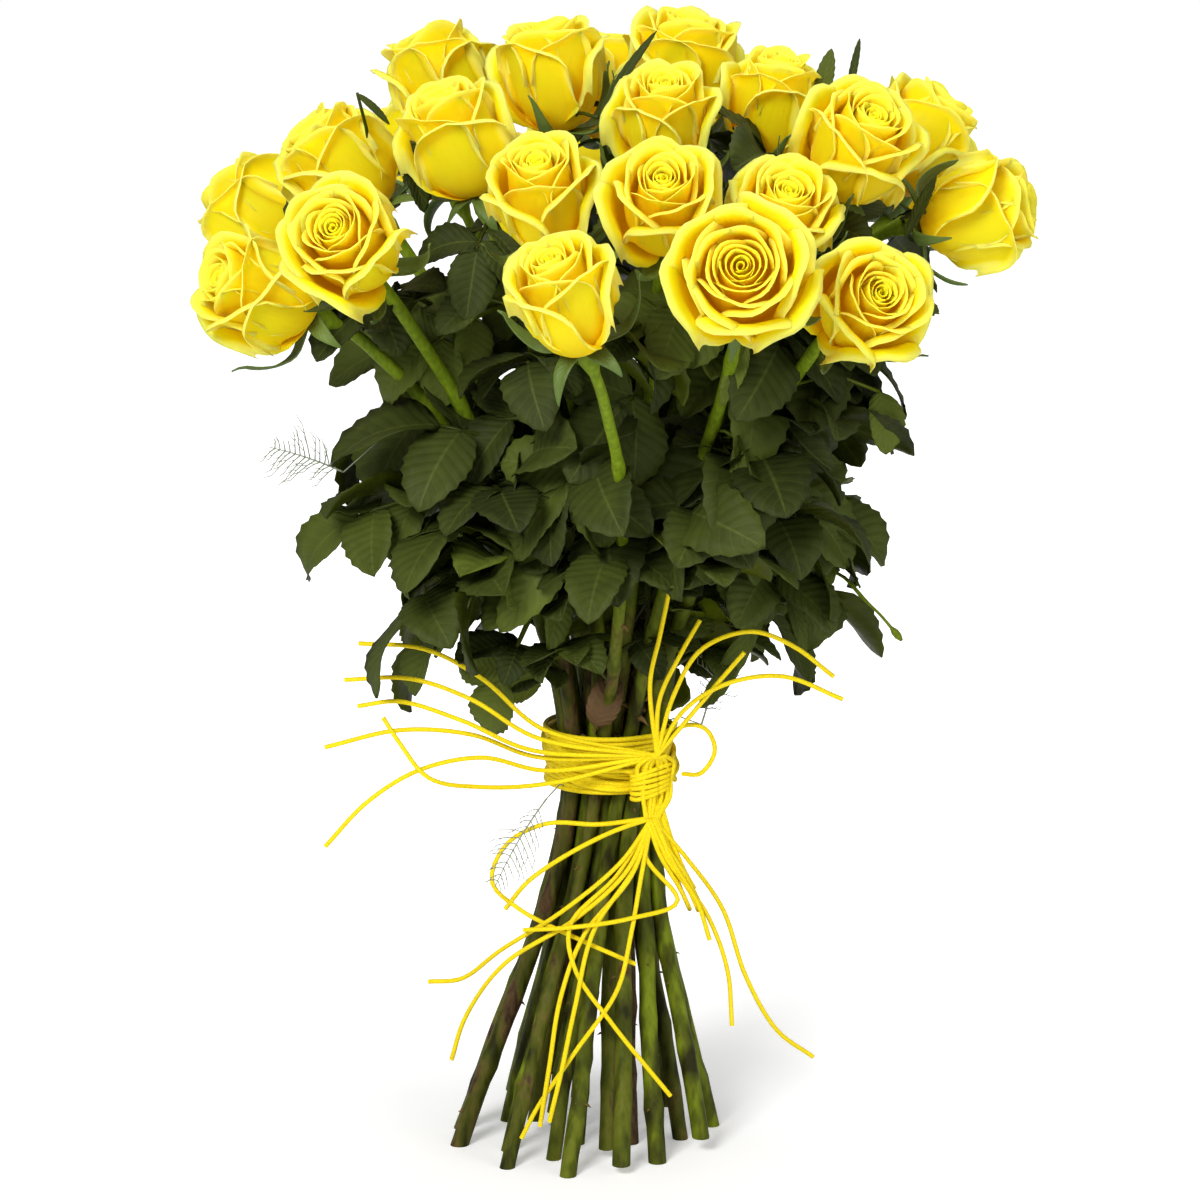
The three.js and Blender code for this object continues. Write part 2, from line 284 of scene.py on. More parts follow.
def mix(tree, fac, a, b):
    """Colour a turned into colour b as far as fac says."""
    node = add(tree, "ShaderNodeMix", data_type="RGBA")
    for socket, value in ((node.inputs[0], fac), (node.inputs[6], a), (node.inputs[7], b)):
        if isinstance(value, bpy.types.NodeSocket):
            tree.links.new(value, socket)
        else:
            socket.default_value = (*value, 1)
    return node.outputs[2]


def new_group(name, inputs, outputs):
    """A node group for numbers, the outputs of what it is given and the inputs of what it shows."""
    group = bpy.data.node_groups.new(name, "ShaderNodeTree")
    for in_out, sockets in (("INPUT", inputs), ("OUTPUT", outputs)):
        for socket in sockets:
            group.interface.new_socket(socket, in_out=in_out, socket_type="NodeSocketFloat")
    return group, add(group, "NodeGroupInput").outputs, add(group, "NodeGroupOutput").inputs


# Mottle is the uneven tone of a living surface: broad patches and fine flecks.
mottle, given, shown = new_group("mottle", ("Broad scale", "Fine scale", "Stretch"), ("Broad", "Fine"))
where = add(mottle, "ShaderNodeTexCoord").outputs["Object"]
drawn_out = add(mottle, "ShaderNodeCombineXYZ", {0: 1.0, 1: 1.0, 2: given["Stretch"]}).outputs[0]
where = scaled(mottle, where, drawn_out)
for tone, detail in (("Broad", 3.0), ("Fine", 4.0)):
    mottle.links.new(noise(mottle, where, given[f"{tone} scale"], detail), shown[tone])


def mottled(tree, broad_scale, fine_scale, stretch=1.0):
    values = {"Broad scale": broad_scale, "Fine scale": fine_scale, "Stretch": stretch}
    node = add(tree, "ShaderNodeGroup", values, node_tree=mottle)
    return node.outputs["Broad"], node.outputs["Fine"]


def tint_of(tree):
    attribute = add(tree, "ShaderNodeAttribute", attribute_name="tint")
    split = add(tree, "ShaderNodeSeparateColor", {0: attribute.outputs["Color"]})
    return split.outputs[0], split.outputs[1], split.outputs[2]


# Bark: tint red is 0 at the foot and 1 at the neck, green is how brown the cane is, blue marks a thorn.
bark, tree, shader = new_material("rose_bark", 0.5, Specular_IOR_Level=0.12)
height, brownness, thorn = tint_of(tree)
broad_tone, fine_tone = mottled(tree, 110.0, 520.0, 0.35)
green_stops = [(0.34, (0.02, 0.02, 0.002)), (0.5, (0.075, 0.09, 0.004)), (0.64, (0.18, 0.23, 0.008))]
greens = ramp(tree, broad_tone, green_stops)
fresh = ramp(tree, fine_tone, [(0.3, (0.11, 0.17, 0.005)), (0.7, (0.2, 0.29, 0.01))])
browns = ramp(tree, fine_tone, [(0.3, (0.026, 0.015, 0.006)), (0.7, (0.11, 0.062, 0.024))])
patchy = remap(tree, calc(tree, "ADD", broad_tone, brownness), 1.0, 1.2)
body = mix(tree, patchy, greens, browns)
body = mix(tree, remap(tree, height, 0.5, 0.8), body, fresh)
body = mix(tree, thorn, body, (0.16, 0.09, 0.03))
tree.links.new(body, shader.inputs["Base Color"])
roughen(tree, shader, fine_tone, 0.6, 0.0008)

# Pith: the pale wet wood of a fresh cut, ringed with bark.
pith, tree, shader = new_material("cut_wood", 0.6)
_, fine_tone = mottled(tree, 90.0, 900.0)
wood = ramp(tree, fine_tone, [(0.3, (0.26, 0.22, 0.09)), (0.7, (0.5, 0.46, 0.24))])
tree.links.new(wood, shader.inputs["Base Color"])


def bloom_seat(number):
    """Foot, axis, radius and height of a bloom, read from its node and the stem under it."""
    bloom, stem = node_points(f"bloom_{number:02d}"), node_points(f"stem_{number:02d}")
    gaps = np.linalg.norm(bloom[:, None] - stem[None], axis=2).min(axis=1)
    foot = bloom[gaps.argmin()]
    axis = unit(bloom.mean(axis=0) - foot)
    along = (bloom - foot) @ axis
    radius = np.linalg.norm(bloom - foot - along[:, None] * axis, axis=1).max()
    return foot, axis, radius, along.max()


def stem_line(number, foot, axis):
    """The middle of a cane, from its cut end to the underside of its hip."""
    triangles = node_triangles(f"stem_{number:02d}")
    low = triangles[:, :, 2].min()
    neck = foot - axis * (HIP_LENGTH + NECK_LENGTH)
    levels = np.linspace(low + MM, neck[2] - 0.006, STEM_LEVELS)
    line = [section_middle(triangles, level) for level in levels]
    line[0] = line[0] + (line[0] - line[1]) * MM / (line[1][2] - line[0][2])
    line += [neck, foot - axis * 0.0008]
    return smoothed(resample(line, STEM_RINGS), 3)


seats = [bloom_seat(number) for number in range(1, ROSE_COUNT + 1)]
stem_lines = [stem_line(number + 1, seat[0], seat[1]) for number, seat in enumerate(seats)]

for number, line in enumerate(stem_lines, start=1):
    rng = random.Random(100 + number)
    run = run_along(line)
    share = run / run[-1]
    girth = rng.uniform(0.9, 1.12)
    radii = girth * (FOOT_RADIUS + (NECK_RADIUS - FOOT_RADIUS) * share**0.8)
    scar = rng.uniform(0.015, 0.04)
    while scar < run[-1] - 0.05:
        radii += rng.uniform(0.0004, 0.001) * np.exp(-(((run - scar) / SCAR_LENGTH) ** 2))
        scar += rng.uniform(0.03, 0.05)
    to_top = run[-1] - run
    radii = np.maximum(radii, np.interp(to_top, HIP_DEPTHS, HIP_RADII))
    wander = smoothed([[rng.gauss(0, 1) for _ in range(3)] for _ in line], 6)
    line = line + wander * STEM_WANDER * np.minimum(1, np.minimum(to_top, run) / WANDER_FADE)[:, None]
    corners, faces = sweep(line, radii, STEM_SIDES)
    cut = corners[:STEM_SIDES]
    cut += (line[1] - line[0]) * ((line[0][2] - cut[:, 2]) / (line[1][2] - line[0][2]))[:, None]
    brown = 0.85 if number == BROWN_CANE else rng.uniform(0.25, 0.6)
    tint = np.repeat(tints(share, brown, 0.0), STEM_SIDES, axis=0)
    parts = [part(corners, faces[:-2], tint), part(corners, faces[-1:], tint)]
    parts.append(part(cut, [faces[-2]], slot=1))
    for _ in range(THORN_COUNT):
        at = rng.uniform(0.02, 0.72) * run[-1]
        i = int(np.searchsorted(run, at))
        along = unit(line[i] - line[i - 1])
        out = unit(np.cross(along, [rng.gauss(0, 1) for _ in range(3)]))
        size = rng.uniform(0.0016, 0.0028) if at < STRIPPED_LENGTH else rng.uniform(0.003, 0.0055)
        root = line[i] + out * (radii[i] - 0.0006)
        spike = [root, root + out * 0.45 * size - along * 0.05 * size, root + out * size - along * 0.4 * size]
        parts.append(rod(spike, size * np.array([0.34, 0.2, 0.03]), 6, (0.5, brown, 0.75)))
    stem = make_piece(f"rose_{number:02d}_stem", parts, [bark, pith])
    place(stem, "stem", f"stem_{number:02d}")

# ---- leaves: each a midrib with three or five toothed leaflets ----
# A leaflet is a thin blade folded a little along its midrib and arched towards its tip, dark and waxy
# above and paler beneath. The canes are bare up to the band and leafy above it.
BLADE_COLUMNS = 4
BLADE_ROWS = 16
BLADE_THICKNESS = 0.0004
MIDRIB_SHARE = 0.58


def grid_sheet(columns, rows):
    """Places across (-1 to 1) and along (0 to 1), and the faces, of a flat sheet to be shaped."""
    bpy.ops.mesh.primitive_grid_add(x_subdivisions=columns, y_subdivisions=rows, size=2)
    grid = bpy.context.object
    mesh = grid.data
    at = np.array([v.co for v in mesh.vertices])
    faces = [tuple(face.vertices) for face in mesh.polygons]
    bpy.data.objects.remove(grid)
    bpy.data.meshes.remove(mesh)
    return at[:, 0], (at[:, 1] + 1) / 2, faces


def sheet_part(corners, sheet, tint):
    """A shaped sheet. Its UV is the place across and along the sheet."""
    across, along, faces = sheet
    return part(corners, faces, tint, np.stack([across * 0.5 + 0.5, along], axis=1))


def leafy_part(corners, sheet, tone, rng):
    return sheet_part(corners, sheet, tints(tone, sheet[1], rng.random()))


blade_sheet = grid_sheet(BLADE_COLUMNS, BLADE_ROWS)


def thicken(piece, thickness, under=0):
    bpy.context.view_layer.objects.active = piece
    wall = piece.modifiers.new("wall", "SOLIDIFY")
    wall.thickness = thickness
    wall.offset = 0
    wall.material_offset = under
    bpy.ops.object.modifier_apply(modifier=wall.name)


def leaflet(length, width, rng):
    """A blade along +X with its upper side up, its foot at the origin."""
    across, along, _ = blade_sheet
    outline = 2.08 * along**0.62 * (1 - along) ** 0.72 + 0.02
    row = np.round(along * BLADE_ROWS)
    tooth = np.where(row % 2 == 1, 1.0, -0.5) * (np.abs(across) > 0.99)
    half = width / 2 * outline * (1 + 0.055 * tooth)
    x = length * along + 0.014 * length * tooth * (along < 0.93)
    y = across * half
    fold = rng.uniform(0.1, 0.42)
    wave = 0.035 * width * np.sin(along * 9 + rng.uniform(0, 6)) * np.abs(across) ** 2
    rib = 0.003 * width * np.cos(along * 34 + np.abs(across) * 4.5) * np.abs(across)
    z = fold * np.abs(y) + wave + rib
    swing = rng.uniform(0.25, 1.1) * along**1.4
    chord = x * np.sinc(swing / 2 / math.pi)
    lean = rng.uniform(-0.3, 0.3) * along**2
    lengthways = chord * np.cos(swing / 2) + z * np.sin(swing)
    upwards = z * np.cos(swing) - chord * np.sin(swing / 2)
    return np.stack([lengthways, y + lean * length * 0.25, upwards], axis=1)


def rolled(side, up, angle):
    return side * math.cos(angle) + up * math.sin(angle), up * math.cos(angle) - side * math.sin(angle)


def leaf_axes(heading, rise, roll):
    """Forward, sideways and upward directions of a leaf. heading, rise and roll are in degrees."""
    h, e, r = (math.radians(a) for a in (heading, rise, roll))
    forward = np.array([math.cos(h) * math.cos(e), math.sin(h) * math.cos(e), math.sin(e)])
    up = square_to(forward, np.array([0, 0, 1.0]))
    return forward, *rolled(np.cross(up, forward), up, r)


def leaf_parts(root, axes, length, pairs, bend, tone, rng):
    """Midrib and leaflets of one leaf. length is the whole leaf's, and bend its droop in radians."""
    axes = np.array(axes)
    rib = MIDRIB_SHARE * length
    t = np.linspace(0, 1, 8)
    local = np.stack([rib * np.sin(bend * t) / bend, 0 * t, -rib * (1 - np.cos(bend * t)) / bend], axis=1)
    radii = np.interp(t, [0, 0.08, 1], [0.0016, 0.0011, 0.0006])
    parts = [rod(root + local @ axes, radii, 6, (tone, 0.3, 1.0))]
    # A leaflet's share of the way along the midrib, its side, and its share of the leaf's length.
    leaflets = [(1.0, 0, 0.46)]
    for k in range(pairs):
        leaflets += [(0.86 - 0.36 * k, hand, 0.4 - 0.05 * k) for hand in (-1, 1)]
    for share, hand, size in leaflets:
        angle = bend * share
        forward = np.array([math.cos(angle), 0, -math.sin(angle)])
        up = np.array([math.sin(angle), 0, math.cos(angle)])
        spread = hand * math.radians(rng.uniform(52, 70)) + rng.uniform(-0.1, 0.1)
        dip = rng.uniform(-0.1, 0.3)
        ahead = forward * math.cos(spread) + np.array([0, 1.0, 0]) * math.sin(spread)
        ahead = ahead * math.cos(dip) - up * math.sin(dip)
        above = square_to(ahead, up)
        beside, above = rolled(np.cross(above, ahead), above, rng.uniform(-0.35, 0.35))
        blade = leaflet(size * length, size * length * rng.uniform(0.7, 0.88), rng)
        start = np.array([np.interp(share, t, local[:, k]) for k in range(3)])
        blade = start + blade @ np.stack([ahead, beside, above])
        parts.append(leafy_part(root + blade @ axes, blade_sheet, tone, rng))
    return parts


# Veins: a midrib and slanting side veins, drawn from the leaflet's own UV.
veins, given, shown = new_group("veins", ("Pairs",), ("Veins", "Quilt"))
where = add(veins, "ShaderNodeTexCoord").outputs["UV"]
across, along, _ = add(veins, "ShaderNodeSeparateXYZ", {0: where}).outputs
outward = calc(veins, "ABSOLUTE", calc(veins, "SUBTRACT", across, 0.5))
midrib = remap(veins, outward, 0.035, 0.0)
slant = calc(veins, "MULTIPLY_ADD", outward, -0.42, along)
phase = calc(veins, "MULTIPLY", slant, given["Pairs"])
wavy = calc(veins, "COSINE", calc(veins, "MULTIPLY", phase, 2 * math.pi))
side_veins = calc(veins, "MULTIPLY", remap(veins, wavy, 0.9, 1.0), 0.3)
veins.links.new(calc(veins, "MAXIMUM", midrib, side_veins), shown["Veins"])
veins.links.new(wavy, shown["Quilt"])


def leaf_material(name, dark, light, vein, roughness, specular, quilting):
    """tint red is how light and young the leaf is, and blue varies from leaflet to leaflet."""
    material, tree, shader = new_material(name, roughness, Specular_IOR_Level=specular)
    young, _, own = tint_of(tree)
    broad_tone, fine_tone = mottled(tree, 75.0, 300.0)
    tone = calc(tree, "MULTIPLY_ADD", young, 0.85, -0.24)
    tone = calc(tree, "MULTIPLY_ADD", own, 0.22, tone)
    tone = calc(tree, "MULTIPLY_ADD", broad_tone, 0.5, tone)
    pattern = add(tree, "ShaderNodeGroup", {"Pairs": 9.0}, node_tree=veins).outputs
    vein_mask = calc(tree, "MULTIPLY", pattern["Veins"], 0.45)
    body = mix(tree, vein_mask, mix(tree, tone, dark, light), vein)
    tree.links.new(body, shader.inputs["Base Color"])
    relief = calc(tree, "MULTIPLY_ADD", pattern["Quilt"], -quilting, fine_tone)
    roughen(tree, shader, relief, 0.4, 0.0005)
    return material


leaf_upper = leaf_material(
    "leaf_upper", (0.009, 0.012, 0.0015), (0.092, 0.12, 0.003), (0.075, 0.095, 0.01), 0.38, 0.17, 0.12
)
leaf_under = leaf_material(
    "leaf_under", (0.022, 0.03, 0.006), (0.11, 0.145, 0.018), (0.12, 0.15, 0.03), 0.6, 0.12, 0.5
)


def leafy_piece(name, parts, *nodes):
    piece = make_piece(name, parts, [leaf_upper, leaf_under])
    thicken(piece, BLADE_THICKNESS, under=1)
    place(piece, "leaf", *nodes)


def box_middle(name):
    low, high = (np.array(corner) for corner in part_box(name))
    return (low + high) / 2


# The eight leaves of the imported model: each keeps its node's root, heading and reach. A blade points up
# from its node's slope at its root, and its droop brings it back.
OUTLINE_LEAVES = 8
LIFT = 0.22
DROOP = 0.45
THREE_LEAFLETS = (3,)
OUTLINE_TONES = {3: 0.75, 5: 0.35}
tie = box_middle("twine_band")
for number in range(1, OUTLINE_LEAVES + 1):
    rng = random.Random(300 + number)
    node = node_points(f"leaf_{number:02d}")
    middle = node.mean(axis=0)
    _, _, spread = np.linalg.svd(node - middle)
    along, normal = spread[0], spread[2]
    ends = (node - middle) @ along
    low, high = node[ends.argmin()], node[ends.argmax()]
    if np.linalg.norm(low[:2] - tie[:2]) > np.linalg.norm(high[:2] - tie[:2]):
        low, high = high, low
    forward = unit(high - low)
    normal = square_to(forward, normal)
    if normal[2] < 0:
        normal = -normal
    axes = (unit(forward + LIFT * normal), np.cross(normal, forward), unit(normal - LIFT * forward))
    length = np.linalg.norm(high - low)
    pairs = 1 if number in THREE_LEAFLETS else 2
    tone = OUTLINE_TONES.get(number, 0.3)
    parts = leaf_parts(low, axes, length, pairs, DROOP, tone, rng)
    leafy_piece(f"leaf_{number:02d}_blades", parts, f"leaf_{number:02d}")

# The rest of the foliage, cane by cane. The leaves stay inside the outline of the bunch, which is
# narrow just above the band and widest half way up to the blooms, and clear of the twine's loose ends.
LEAF_BOTTOM = 0.2
LEAF_TRIES = 14
OUTLINE_HEIGHTS = (0.19, 0.22, 0.245, 0.27, 0.31, 0.36, 0.42)
OUTLINE_RADII = (0.038, 0.05, 0.078, 0.108, 0.12, 0.125, 0.135)
SIZE_HEIGHTS = (0.2, 0.235, 0.27, 0.33, 0.4)
LEAF_SIZES = (0.052, 0.066, 0.097, 0.099, 0.07)
RISE_HEIGHTS = (0.2, 0.24, 0.27, 0.33, 0.4)
LEAF_RISES = (70, 52, 4, 0, 26)
SPACING_HEIGHTS = (0.2, 0.25, 0.27, 0.3, 0.36, 0.4)
LEAF_SPACINGS = (0.02, 0.021, 0.028, 0.024, 0.018, 0.013)
LEAF_TONES = (0, 0, 0.04, 0.08, 0.14, 0.22, 0.35, 0.55, 0.8)


def over_twine(leaf):
    """Whether a leaf covers the loose ends that stand up from the knot."""
    x, y, z = (np.vstack([piece[0] for piece in leaf]) - tie).T
    return np.any((x > 0) & (x < 0.06) & (y < -0.044) & (z < 0.086))


for number in range(1, ROSE_COUNT + 1):
    rng = random.Random(500 + number)
    line, foot = stem_lines[number - 1], seats[number - 1][0]
    parts = []
    level = LEAF_BOTTOM + rng.uniform(0, 0.015)
    while level < foot[2] - 0.014:
        root = line[int(np.searchsorted(line[:, 2], level))]
        out = root - tie
        away = math.degrees(math.atan2(out[1], out[0]))
        size = np.interp(level, SIZE_HEIGHTS, LEAF_SIZES) * rng.uniform(0.85, 1.15)
        pairs = 1 if level < 0.245 or rng.random() < 0.3 else 2
        tone = rng.choice(LEAF_TONES)
        for _ in range(LEAF_TRIES):
            heading = away + rng.choice((-1, 1)) * rng.uniform(5, 80)
            rise = np.interp(level, RISE_HEIGHTS, LEAF_RISES) + rng.uniform(-30, 26)
            if 0.225 < level < 0.27 and rng.random() < 0.5:
                rise = rng.uniform(-75, -40)
            axes = leaf_axes(heading, rise, rng.uniform(-60, 60))
            tip = root + axes[0] * size * 0.9 - tie
            if math.hypot(tip[0], tip[1]) > np.interp(tip[2] + tie[2], OUTLINE_HEIGHTS, OUTLINE_RADII):
                continue
            leaf = leaf_parts(root, axes, size, pairs, rng.uniform(0.2, 1.0), tone, rng)
            if not over_twine(leaf):
                parts += leaf
                break
        level += np.interp(level, SPACING_HEIGHTS, LEAF_SPACINGS) * rng.uniform(0.75, 1.25)
    leafy_piece(f"rose_{number:02d}_leaves", parts)

# ---- stray leaves: single leaflets that hang clear of the mass ----
# Each hangs by a thin stalk from the nearest cane. Roots and tips are in millimetres, then come the
# leaflet's width and how light it is.
STRAY_LEAVES = (
    ((54, -75, 326), (57, -87, 280), 12, 0.6),
    ((57, -90, 369), (48, -100, 347), 10, 1.0),
    ((113, -58, 343), (118, -70, 322), 19, 0.95),
    ((69, -25, 249), (40, -37, 191), 11, 0.3),
    ((77, -28, 255), (84, -38, 228), 8, 0.35),
    ((-14, -62, 286), (-42, -80, 248), 24, 0.75),
    ((-85, -40, 446), (-74, -42, 418), 13, 0.1),
    ((-4, -18, 452), (17, -18, 487), 5, 0.05),
    ((88, -25, 458), (93, -26, 480), 9, 0.5),
    ((101, -12, 460), (105, -13, 483), 4, 0.1),
    ((112, -38, 448), (121, -40, 464), 4, 0.1),
    ((26, -72, 436), (37, -75, 422), 4, 0.05),
    ((122, -48, 414), (146, -50, 424), 4, 0.1),
    ((124, -50, 407), (134, -54, 431), 6, 0.4),
    ((-103, -48, 466), (-90, -50, 455), 4, 0.2),
    ((51, -15, 448), (53, -16, 467), 5, 0.05),
)


def stalk_to(root, tint=(0, 0, 0), radius=0.0006):
    """A thin stalk from the nearest cane to a point."""
    near = min((at for line in stem_lines for at in line), key=lambda at: np.linalg.norm(at - root))
    middle = (near + root) / 2 + (0, 0, 0.15 * np.linalg.norm(root - near))
    return rod(resample([near, middle, root], 7), radius, 6, tint)


def lone_leaflet(root, tip, width, tone, rng):
    root, tip = np.array(root) * MM, np.array(tip) * MM
    ahead = unit(tip - root)
    above = square_to(ahead, np.array([rng.uniform(-0.5, 0.5), -1.0, 0.5]))
    blade = leaflet(1.08 * np.linalg.norm(tip - root), width * MM, rng)
    corners = root + blade @ np.stack([ahead, np.cross(above, ahead), above])
    return [leafy_part(corners, blade_sheet, tone, rng), stalk_to(root, (tone, 0.3, 1.0))]


rng = random.Random(61)
parts = []
for root, tip, width, tone in STRAY_LEAVES:
    parts += lone_leaflet(root, tip, width, tone, rng)
leafy_piece("stray_leaves", parts)

# ---- dry leaf: one brown leaf caught above the band ----
# It has dried and curled, and stands up against the canes at the front.
dry_skin = leaf_material(
    "dry_leaf", (0.03, 0.017, 0.006), (0.12, 0.07, 0.03), (0.1, 0.06, 0.03), 0.7, 0.1, 0.6
)
parts = lone_leaflet((-5, -26, 191), (3, -32, 213), 17, 0.6, random.Random(5))
dry = make_piece("dry_leaf", parts, [dry_skin])
thicken(dry, BLADE_THICKNESS)
place(dry, "leaf")

# ---- bud twig: a bare side shoot at the right, with a small closed bud at its end ----
# It leaves its cane under the leaves, bends down and ends in the bud.
SHOOT = ((84, -14, 262), (101.6, -20, 255.5), (109, -23, 247), (117, -27, 240), (125.7, -30, 229.8))
SHOOT_POINTS = 24
SHOOT_PLACES = (0, 6, 12, 15, 20, 21.5, 23)
SHOOT_RADII = (0.8, 0.7, 0.9, 0.6, 0.7, 2.1, 0.6)
GREEN_BARK = (0.7, 0.4, 0)
shoot = smoothed(resample(np.array(SHOOT) * MM, SHOOT_POINTS), 2)
radii = np.interp(np.arange(SHOOT_POINTS), SHOOT_PLACES, SHOOT_RADII) * MM
parts = [rod(shoot, radii, 10, GREEN_BARK), stalk_to(shoot[0], GREEN_BARK)]
place(make_piece("bud_twig", parts, [bark]), "stem")

# ---- fern wisps: three pale threads of fern among the roses ----
# Each is a thin rachis with finer branches to both sides, so light that it hardly shows.
WISPS = (
    ((-112, -20, 301), (-141, -25, 316), 16),
    ((-26, -30, 160), (-52, -44, 128), 12),
    ((41, -3, 186), (57, -4, 238), 13),
)
WISP_POINTS = 16
fern_skin, tree, shader = new_material("fern", 0.7, Specular_IOR_Level=0.1)
shader.inputs["Base Color"].default_value = (0.27, 0.3, 0.21, 1)


def fern(root, tip, breadth, rng):
    root, tip = np.array(root) * MM, np.array(tip) * MM
    ahead = unit(tip - root)
    beside = unit(np.cross(ahead, (0.1, 1.0, 0.2)))
    t = np.linspace(0, 1, WISP_POINTS)
    spine = root + t[:, None] * (tip - root) + beside * (0.12 * np.linalg.norm(tip - root) * t * t)[:, None]
    rods = [rod(spine, np.linspace(0.00045, 0.0002, WISP_POINTS), 5), stalk_to(root, radius=0.0003)]
    for k in range(2, WISP_POINTS - 1):
        for hand in (-1, 1):
            long = breadth * MM * (1 - abs(k - 7) / 11) * rng.uniform(0.6, 1.1)
            way = ahead * rng.uniform(0.3, 0.8) + beside * hand
            way = unit(way + np.array([0, rng.uniform(-0.5, 0.5), 0]))
            branch = spine[k] + way * (long * np.linspace(0, 1, 4))[:, None]
            branch[2:, 2] -= np.array([0.0006, 0.0018])
            rods.append(rod(branch, [0.0003, 0.00025, 0.0002, 0.00015], 4))
            for at in branch[1:]:
                bit = unit(way + ahead * rng.uniform(0.2, 0.9) + beside * rng.uniform(-0.6, 0.6))
                rods.append(rod([at, at + bit * long * 0.3], [0.0002, 0.00012], 4))
    return rods


for number, wisp in enumerate(WISPS, start=1):
    fronds = fern(*wisp, random.Random(80 + number))
    place(make_piece(f"fern_wisp_{number}", fronds, [fern_skin]), "leaf")

# ---- blooms: two dozen petals or a few more round a tight spiral heart ----
# Petals follow each other at the golden angle. Each is a rounded blade bent over the cup, and its margin
# rolls back: hardly at the heart, right over on the outside, where two rolled sides leave a point.
PETAL_COLUMNS = 14
PETAL_ROWS = 11
PETAL_THICKNESS = 0.00032
PETAL_COUNT = 22
OPEN_PETALS = 7
PETAL_REACH = 1.14
PETAL_RISE = 1.06
GOLDEN_TURN = math.radians(137.5)
ANY_TURN = (0, 6.28)

petal_across, petal_along, petal_faces = grid_sheet(PETAL_COLUMNS, PETAL_ROWS)
petal_along = 1 - (1 - petal_along) ** 1.25
petal_across = np.sign(petal_across) * (1 - (1 - np.abs(petal_across)) ** 1.15)
petal_sheet = (petal_across, petal_along, petal_faces)


def smoothstep(x):
    x = np.clip(x, 0, 1)
    return x * x * (3 - 2 * x)


def curl(inside, margin, angle):
    """How far a margin that rolls through angle draws back, and how far it rises off the blade."""
    angle = np.maximum(angle, 0.02)
    past = np.maximum(margin - inside, 0)
    radius = margin / angle
    return past - radius * np.sin(past / radius), radius * (1 - np.cos(past / radius))


def petal(radius, height, order, openness, rng):
    """Corners of one petal in the bloom's frame, axis up and the petal on +X, and its rim mask."""
    across, along, _ = petal_sheet

    def by_order(closed, opened):
        steps = [0, 0.3, 0.6, 0.85, 1]
        return (1 - openness) * np.interp(order, steps, closed) + openness * np.interp(order, steps, opened)

    cup = radius * (0.085 + (0.72 + 0.06 * openness) * order**0.8)
    lip_height = height * by_order([0.96, 0.98, 0.97, 0.9, 0.82], [0.83, 0.88, 0.92, 0.84, 0.7])
    lip_height *= 1 + 0.05 * order * rng.uniform(-1, 1)
    lip = cup * by_order([0.3, 0.5, 0.74, 0.92, 1.03], [0.55, 0.82, 1.0, 1.12, 1.2]) * rng.uniform(0.96, 1.04)
    turn_back = by_order([0.2, 0.5, 1.1, 1.9, 2.3], [0.35, 0.8, 1.35, 2.1, 2.6]) * rng.uniform(0.85, 1.15)
    margin = by_order([0.002, 0.004, 0.006, 0.008, 0.009], [0.0022, 0.0036, 0.006, 0.009, 0.011])
    half_angle = by_order([2.5, 1.8, 1.4, 1.3, 1.25], [2.4, 1.65, 1.3, 1.15, 1.05])
    flat = by_order([1.0, 1.0, 1.04, 1.1, 1.2], [1.0, 1.0, 1.06, 1.2, 1.4])

    t = np.linspace(0, 1, 40)[:, None]
    hull = [(0.05 * radius, 0.0), (0.05 * radius + 0.98 * cup, -0.02 * height)]
    hull = np.array([*hull, (1.13 * cup, 0.5 * lip_height), (lip, lip_height)])
    rise = sum(math.comb(3, k) * (1 - t) ** (3 - k) * t**k * hull[k] for k in range(4))
    onward = rise[-1] + unit(rise[-1] - rise[-2]) * np.linspace(0.001, 0.02, 8)[:, None]
    rise = np.vstack([rise, onward])
    run = run_along(rise)
    slope = np.gradient(rise, axis=0)
    slope /= np.linalg.norm(slope, axis=1)[:, None]

    length = run[39] + 0.4 * margin
    width = cup * half_angle
    crown = 0.68 + 0.32 * np.maximum(1 - np.abs(across) ** 2.8, 0) ** 0.5
    point = 0.0009 * order * np.exp(-((across / 0.16) ** 2))
    top = length * crown + point
    half = width * (0.3 + 0.7 * smoothstep(along / 0.55))
    x, y = across * half, along * top

    from_top = (1 - along) * top
    from_side = (1 - np.abs(across)) * half
    upper = smoothstep((along - 0.35) / 0.4)
    back_top, lift_top = curl(from_top, margin, turn_back * (0.75 + 0.25 * np.abs(across)))
    back_side, lift_side = curl(from_side, 0.8 * margin, 0.6 * turn_back * upper)
    phase = rng.uniform(*ANY_TURN)
    ruffle = (0.00035 + 0.0011 * order) * np.sin(4.1 * across + phase) * along**6
    flutter = 0.0006 * order * np.sin(9.5 * across + 2 * phase) * along**10
    x = x - np.sign(across) * back_side
    y = np.maximum(y - back_top + ruffle, 0)
    lift = np.hypot(lift_top, 0.9 * lift_side) + ruffle + flutter

    ring, level = np.interp(y, run, rise[:, 0]), np.interp(y, run, rise[:, 1])
    slope_out, slope_up = np.interp(y, run, slope[:, 0]), np.interp(y, run, slope[:, 1])
    bend = np.maximum(ring, 0.0012) * (1 + (flat - 1) * upper)
    around = x / bend
    overlap = (0.0003 + 0.07 * cup) * across
    out = ring - bend * (1 - np.cos(around)) + (lift * slope_up + overlap) * np.cos(around)
    sideways = bend * np.sin(around) + (lift * slope_up + overlap) * np.sin(around)
    rim = 1 - np.clip(np.minimum(from_top, from_side + 0.01 * (1 - upper)) / 0.009, 0, 1) ** 1.5
    return np.stack([out, sideways, level - lift * slope_out], axis=1), rim


